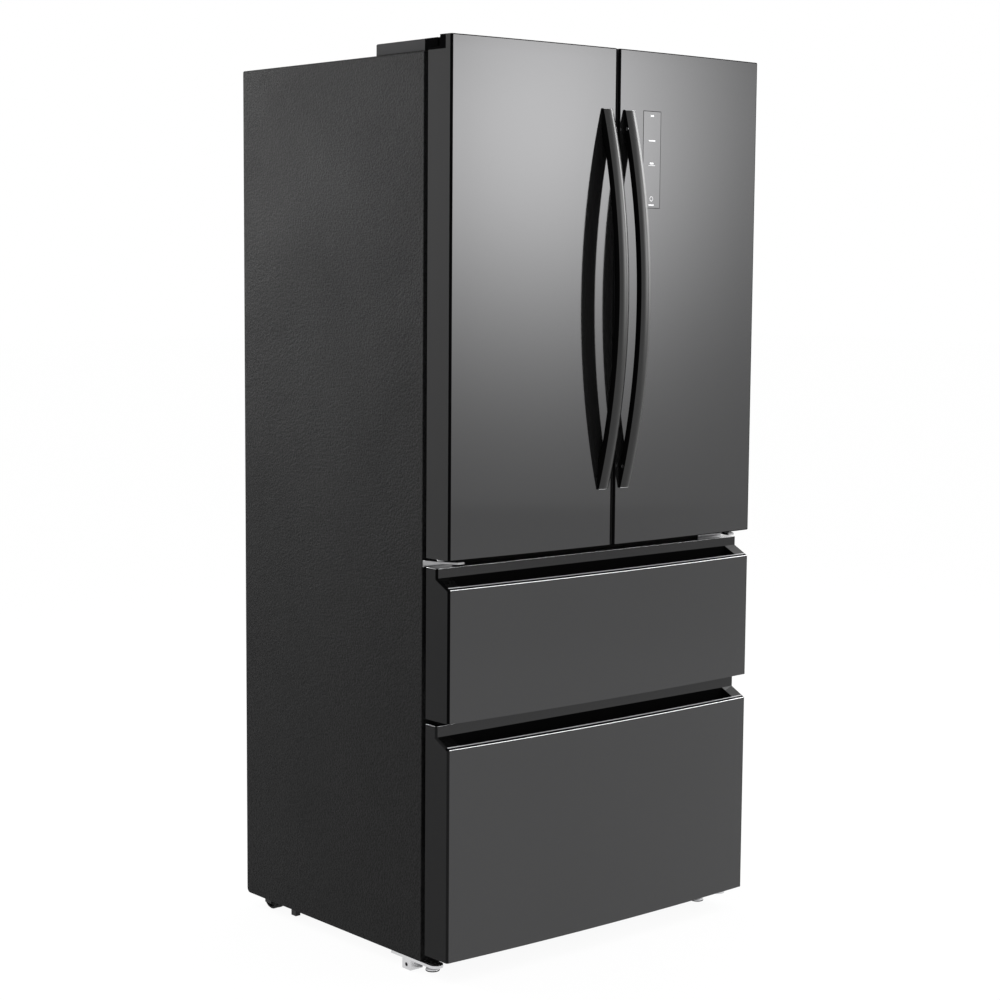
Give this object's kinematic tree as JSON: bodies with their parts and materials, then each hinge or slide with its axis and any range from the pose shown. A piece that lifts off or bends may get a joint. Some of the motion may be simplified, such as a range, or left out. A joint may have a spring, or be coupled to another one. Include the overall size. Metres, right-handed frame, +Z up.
{
  "type": "french door refrigerator",
  "caption": "French door refrigerator with bowed bar handles over freezer drawers with recessed grips, dark steel fronts and a crowned face.",
  "frame": {"origin": "on the floor under the middle of the overall box, handles included", "axes": "+Z up, -Y out of the doors towards the user, +X to the right seen from the front"},
  "size_m": [0.811, 0.7484, 1.78],
  "materials": {
    "cabinet_paint": "textured dark grey paint",
    "front_steel": "glossy dark tinted steel",
    "black_gloss": "gloss black",
    "panel_black": null,
    "dark_plastic": "matt black moulding",
    "cover_plastic": "matt grey moulding",
    "plain_steel": "zinc plated",
    "foam": "foam, sealed behind the sheets",
    "white_liner": "smooth white",
    "gasket_rubber": "soft matt black",
    "clear_plastic": "clear moulding",
    "shelf_glass": "clear tempered glass",
    "aluminium": "bare fins and tube",
    "compressor_paint": "black painted shell",
    "wheel_plastic": "hard grey plastic"
  },
  "bodies": {
    "cabinet": {"outer_wrap": "cabinet_paint", "back_panel": "plain_steel", "front_frame": "cabinet_paint", "insulation": "foam", "fridge_liner": "white_liner", "freezer_liner": "white_liner", "base_pan": "compressor_paint", "foot_bracket_left": "plain_steel", "foot_bracket_right": "plain_steel", "compressor": "compressor_paint", "drain_pan": "dark_plastic", "condenser": "aluminium", "machine_cover": "plain_steel", "power_inlet": "dark_plastic", "evaporator_cover": "white_liner", "evaporator": "aluminium", "air_duct": "white_liner", "shelf_upper": "shelf_glass", "shelf_lower": "shelf_glass", "crisper_cover": "shelf_glass", "top_hinge_left": "black_gloss", "top_hinge_right": "black_gloss", "hinge_cover_left": "cover_plastic", "hinge_cover_right": "cover_plastic", "middle_hinge_left": "plain_steel", "middle_hinge_right": "plain_steel", "upper_slide_left": "plain_steel", "upper_slide_right": "plain_steel", "lower_slide_left": "plain_steel", "lower_slide_right": "plain_steel"},
    "left_door": {"left_door_panel": "front_steel", "left_handle": "black_gloss", "left_door_bin": "clear_plastic", "left_door_gasket": "gasket_rubber", "left_door_liner": "white_liner"},
    "right_door": {"right_door_panel": "front_steel", "right_handle": "black_gloss", "right_door_bin": "clear_plastic", "right_door_gasket": "gasket_rubber", "right_door_liner": "white_liner", "control_panel": "panel_black"},
    "mullion": {"mullion_flap": "dark_plastic"},
    "upper_drawer": {"upper_drawer_front": "front_steel", "upper_drawer_core": "white_liner", "upper_drawer_gasket": "gasket_rubber", "upper_drawer_frame": "plain_steel", "upper_basket": "clear_plastic"},
    "lower_drawer": {"lower_drawer_front": "front_steel", "lower_drawer_core": "white_liner", "lower_drawer_gasket": "gasket_rubber", "lower_drawer_frame": "plain_steel", "lower_basket": "clear_plastic"},
    "left_crisper": {"crisper_left": "clear_plastic"},
    "right_crisper": {"crisper_right": "clear_plastic"},
    "left_foot": {"levelling_foot_left": "dark_plastic"},
    "right_foot": {"levelling_foot_right": "dark_plastic"},
    "left_roller": {"rear_roller_left": "wheel_plastic"},
    "right_roller": {"rear_roller_right": "wheel_plastic"},
    "freezer_fan": {"evaporator_fan": "dark_plastic"},
    "machine_fan": {"condenser_fan": "dark_plastic"}
  },
  "joints": [
    {"name": "left_door_hinge", "type": "hinge", "parent": "cabinet", "child": "left_door", "pos_m": [-0.3855, -0.25428, 0.8145], "axis": [0, 0, -1], "range_deg": [0, 110]},
    {"name": "right_door_hinge", "type": "hinge", "parent": "cabinet", "child": "right_door", "pos_m": [0.3855, -0.25428, 0.8145], "axis": [0, 0, 1], "range_deg": [0, 110]},
    {"name": "mullion_hinge", "type": "hinge", "parent": "left_door", "child": "mullion", "pos_m": [-0.032, -0.21328, 0.874], "axis": [0, 0, -1], "range_deg": [0, 90]},
    {"name": "upper_drawer_slide", "type": "slide", "parent": "cabinet", "child": "upper_drawer", "axis": [0, -1, 0], "range_m": [0, 0.38]},
    {"name": "lower_drawer_slide", "type": "slide", "parent": "cabinet", "child": "lower_drawer", "axis": [0, -1, 0], "range_m": [0, 0.38]},
    {"name": "left_crisper_slide", "type": "slide", "parent": "cabinet", "child": "left_crisper", "axis": [0, -1, 0], "range_m": [0, 0.036]},
    {"name": "right_crisper_slide", "type": "slide", "parent": "cabinet", "child": "right_crisper", "axis": [0, -1, 0], "range_m": [0, 0.036]},
    {"name": "left_foot_thread", "type": "hinge", "parent": "cabinet", "child": "left_foot", "pos_m": [-0.366, -0.21028, 0], "axis": [0, 0, 1], "continuous": true},
    {"name": "right_foot_thread", "type": "hinge", "parent": "cabinet", "child": "right_foot", "pos_m": [0.366, -0.21028, 0], "axis": [0, 0, 1], "continuous": true},
    {"name": "left_roller_axle", "type": "hinge", "parent": "cabinet", "child": "left_roller", "pos_m": [-0.3725, 0.31772, 0.025], "axis": [1, 0, 0], "continuous": true},
    {"name": "right_roller_axle", "type": "hinge", "parent": "cabinet", "child": "right_roller", "pos_m": [0.3725, 0.31772, 0.025], "axis": [1, 0, 0], "continuous": true},
    {"name": "freezer_fan_shaft", "type": "hinge", "parent": "cabinet", "child": "freezer_fan", "pos_m": [0, 0.26372, 0.688], "axis": [0, 1, 0], "continuous": true},
    {"name": "machine_fan_shaft", "type": "hinge", "parent": "cabinet", "child": "machine_fan", "pos_m": [0.066, 0.28272, 0.13], "axis": [1, 0, 0], "continuous": true}
  ]
}
